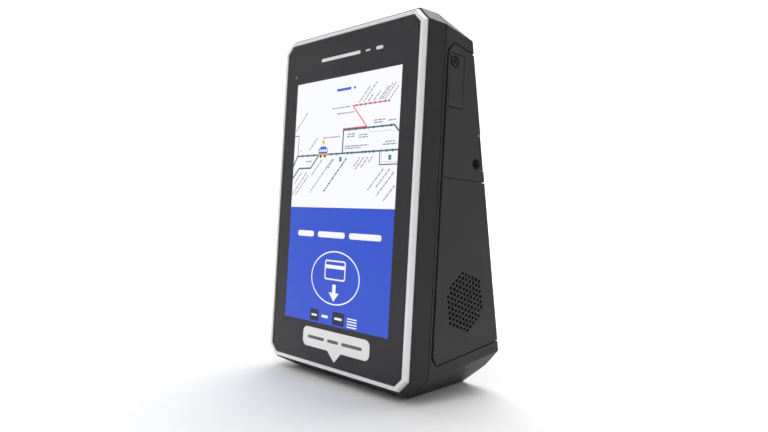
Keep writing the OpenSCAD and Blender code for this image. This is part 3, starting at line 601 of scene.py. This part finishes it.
film("map_labels", ink, lit_ink, layer=3)
stops = [bar(x - 0.3, x + 0.3, main_z - 0.9, main_z + 0.9) for x in
         (-38, -33, -26, -9.5, -4, 5.5, 9.5, 18.4, 21, 24.3, 27.8, 38.5, 43)]
stops += [bar(x - 0.3, x + 0.3, upper_z - 0.8, upper_z + 0.8) for x in (6, 12, 19, 27, 34, 41)]
stops += [bar(x - 0.3, x + 0.3, red_z - 0.8, red_z + 0.8) for x in (11, 15, 19, 23, 27, 31, 35, 38.4)]
film("map_stops", stops, lit_navy, layer=4)
print(len(ink), "dashes and", len(stops), "stops")

# %% Small pictures on the map
film("map_heading", [bar(-7.3, 5.8, 176, 177.6, 0.7), bar(8, 9.7, 176, 177.6, 0.7)], lit_heading,
     layer=1)
film("map_bus_body", [bar(-21.9, -13.1, 138.6, 141.9, 0.8), bar(-20.4, -14.6, 141.9, 143, 0.3)],
     lit_heading, layer=5)
film("map_bus_skirt", [bar(-21.9, -13.1, 136.9, 138.6, 0.3)], lit_amber, layer=5)
film("map_bus_wheels", [oval(x, 136.9, 0.9, 0.9, 24) for x in (-19.6, -15.4)], lit_dark, layer=6)
film("map_bus_windows", [bar(x, x + 1.5, 139.7, 141.2, 0.2) for x in (-21.1, -19.1, -17.1, -15.1)],
     lit_white, layer=6)
film("map_pin", [[(-17.4, 143.4), (-16.5, 145.2), (-18.3, 145.2)], oval(-17.4, 145.8, 1.2, 1.2, 24)],
     lit_amber, layer=6)
shelters = [(-0.7, 134.4), (41.1, 133.9)]
film("map_shelters", [bar(x - 1.1, x + 1.1, z - 1.4, z + 1.4, 0.3) for x, z in shelters], lit_green,
     layer=1)
print("bus, pin and shelters ready")

# %% Card picture on blue
words = [(-38, -22), (-18, 7), (11, 38)]
film("prompt_bars", [bar(x0, x1, 86.8, 90.4, 1.5) for x0, x1 in words], lit_pale, layer=1)
film("prompt_ring", [[oval(0, 62.9, 22.2, 16.2), oval(0, 62.9, 21.4, 15.4)]], lit_pale,
     layer=1)
film("prompt_card", [[bar(-9.5, 9.5, 61.5, 73.5, 1.6), bar(-8.6, 8.6, 62.4, 72.6, 1.1)],
                     bar(-9, 9, 68.4, 70.6)], lit_pale, layer=1)
film("prompt_arrow", [[(-4.6, 54), (0, 48.8), (4.6, 54), (1.5, 54), (1.5, 59), (-1.5, 59), (-1.5, 54)]],
     lit_pale, layer=1)
film("prompt_tiles", [bar(-21.5, -13, 35.2, 42.4, 0.9), bar(0, 10.5, 35.2, 43, 0.9)], lit_dark,
     layer=1)
film("prompt_tile_bars", [bar(-19.8, -14.7, 38.2, 39.4, 0.4), bar(-10, -4.2, 38.2, 39.8, 0.4),
                          bar(2, 8.5, 38.4, 39.8, 0.4)]
     + [bar(13.2, 21.6, z, z + 0.7) for z in (35.4, 37, 38.6, 40.2)], lit_pale, layer=2)
print("card picture ready")

# %% [markdown]
# ## Print on the glass and the label
# The title above the display and the words on the label are plain bars too. The eye of the light sensor
# shows through a small clear spot at the top left of the glass.

# %% Title, label words and sensor eye
print_silver = Finish("silver print", (0.72, 0.72, 0.73), 0.3, Coat_Weight=0.3, Coat_Roughness=0.08)
print_silver.put("Roughness", 0.26 + 0.1 * print_silver.noise(0.004))
print_silver.put("Base Color", print_silver.blend(print_silver.noise(0.01), (0.68, 0.68, 0.69),
                                                  (0.75, 0.75, 0.76)))
film("title_bars", [bar(-24, 12, 196.5, 198.5, 0.9), bar(16.5, 20.5, 197, 198, 0.45),
                    bar(25.4, 31, 196.5, 198.5, 0.9)], print_silver)
print_grey = Finish("grey print", (0.11, 0.11, 0.115), 0.45)
print_grey.put("Roughness", 0.4 + 0.1 * print_grey.noise(0.003))
print_grey.put("Base Color", print_grey.blend(print_grey.noise(0.01), (0.1, 0.1, 0.104),
                                              (0.12, 0.12, 0.125)))
label = frame["nodes"]["scan_label"]
label_y = min((label.matrix_world @ Vector(corner)).y for corner in label.bound_box)
film("label_bars", [bar(x0, x1, 24, 25.9, 0.9) for x0, x1 in ((-22, -6.3), (-3.3, 6.7), (9.5, 27.3))],
     print_grey, on=label_y)
eye = Finish("sensor eye", (0.12, 0.115, 0.135), 0.12, Coat_Weight=0.5, Coat_Roughness=0.04)
eye.put("Roughness", 0.1 + 0.08 * eye.noise(0.001))
eye.put("Base Color", eye.blend(eye.noise(0.0006), (0.1, 0.095, 0.115), (0.16, 0.155, 0.175)))
film("sensor_eye", [oval(-49.4, 190.2, 1.1, 1.1, 32)], eye)
print("prints ready")

# %% [markdown]
# ## Studio light
# Black plastic is drawn by what it mirrors. So the room is dim and the wall behind the machine is bright.
# Three soft boxes do the work: one high on the camera's side for the bezel and the glass, one above for the
# floor and the cut corners, and one for the wall. None stands where the glass would mirror it to the camera.

# %% Light
world = bpy.data.worlds.new("studio")
bpy.context.scene.world = world
world.use_nodes = True
world.node_tree.nodes["Background"].inputs["Color"].default_value = (0.95, 0.97, 1, 1)
world.node_tree.nodes["Background"].inputs["Strength"].default_value = 0.15
paper = Finish("studio paper", (0.9, 0.9, 0.9), 0.9)
paper.put("Base Color", paper.blend(paper.noise(1.5, 2), (0.89, 0.89, 0.89), (0.91, 0.91, 0.91)))
sweep.data.materials.append(paper.material)


def soft_box(name, place, aim, width, height, power):
    lamp = bpy.data.lights.new(name, "AREA")
    lamp.shape, lamp.size, lamp.size_y, lamp.energy = "RECTANGLE", width, height, power
    holder = bpy.data.objects.new(name, lamp)
    bpy.context.collection.objects.link(holder)
    holder.location = place
    holder.rotation_euler = (Vector(aim) - Vector(place)).to_track_quat("-Z", "Y").to_euler()
    return holder


soft_box("key", (0.3, -1.2, 1.35), middle, 1.5, 1.1, 10.5)
soft_box("top", (-0.3, 0.6, 1.5), middle, 1.5, 1.5, 22)
soft_box("backdrop", (-0.6, 0.6, 1.6), (-2.0, 2.0, 0.6), 1.2, 1.2, 42)
bpy.context.scene.view_settings.view_transform = "Standard"
print("lights ready")
